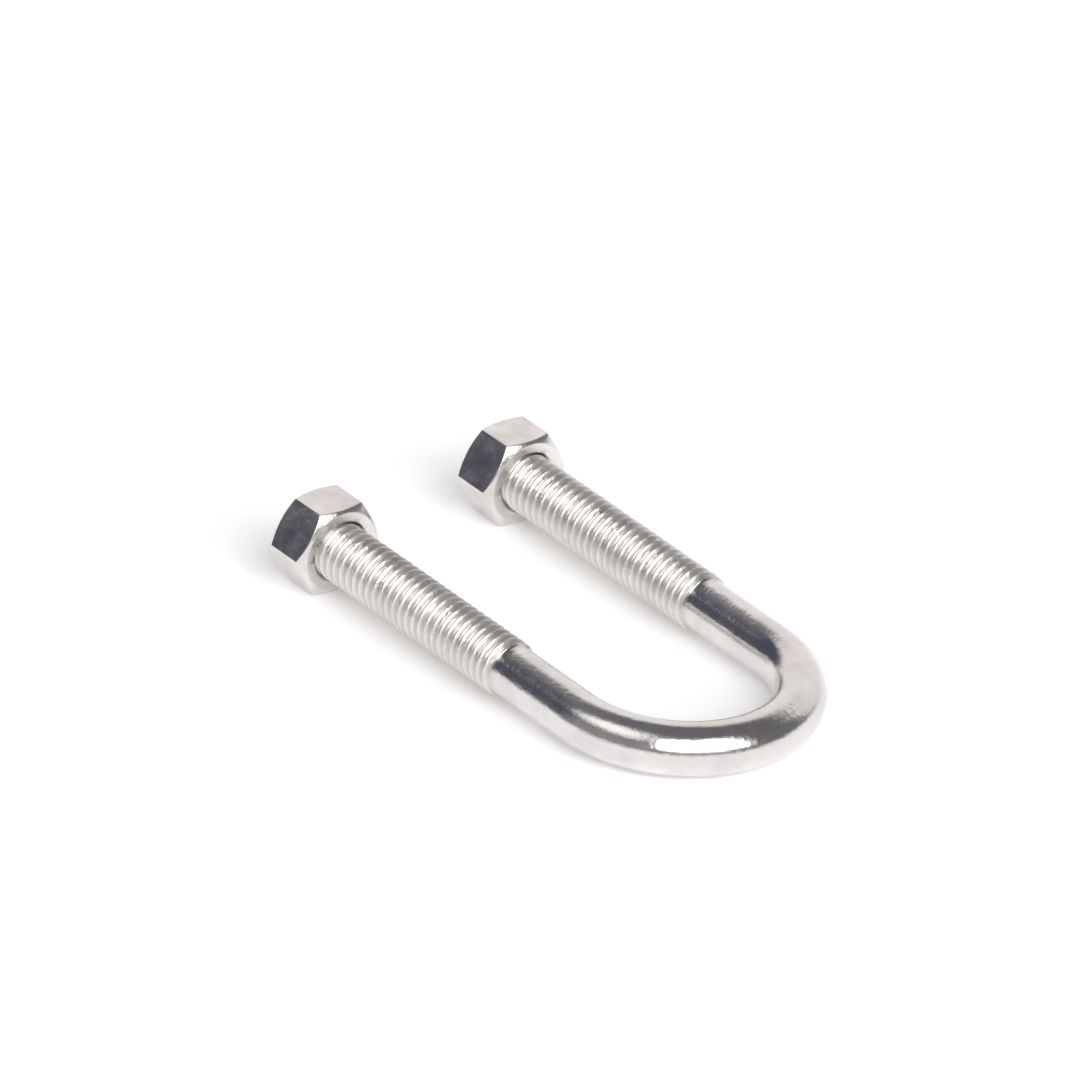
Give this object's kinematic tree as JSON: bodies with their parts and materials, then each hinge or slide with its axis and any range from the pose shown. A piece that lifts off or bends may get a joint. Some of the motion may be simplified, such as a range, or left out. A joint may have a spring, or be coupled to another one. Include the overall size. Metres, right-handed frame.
{
  "type": "u-bolt with nuts",
  "caption": "Round steel rod bent into a U, with both straight legs threaded and a plain hex nut on each, for clamping a pipe or fixing a lashing point to a plate.",
  "frame": {"origin": "centre of the bend, on the axis of the pipe that the U would clamp", "axes": "+X toward the closed end of the U, with the legs running along -X; +Y from the left leg to the right leg; +Z square to the plane of the U, along the clamped pipe"},
  "size_m": [0.0902, 0.0546, 0.0142],
  "materials": {
    "rod": "bright zinc plate",
    "nut": "bright zinc plate"
  },
  "bodies": {
    "rod": {"u_bolt": "rod"},
    "left_nut": {"left_nut": "nut"},
    "right_nut": {"right_nut": "nut"}
  },
  "joints": [
    {"name": "left_nut_travel", "type": "slide", "parent": "rod", "child": "left_nut", "axis": [1, 0, 0], "range_m": [-0.00953, 0.0381]},
    {"name": "right_nut_travel", "type": "slide", "parent": "rod", "child": "right_nut", "axis": [1, 0, 0], "range_m": [-0.00953, 0.0381]}
  ]
}
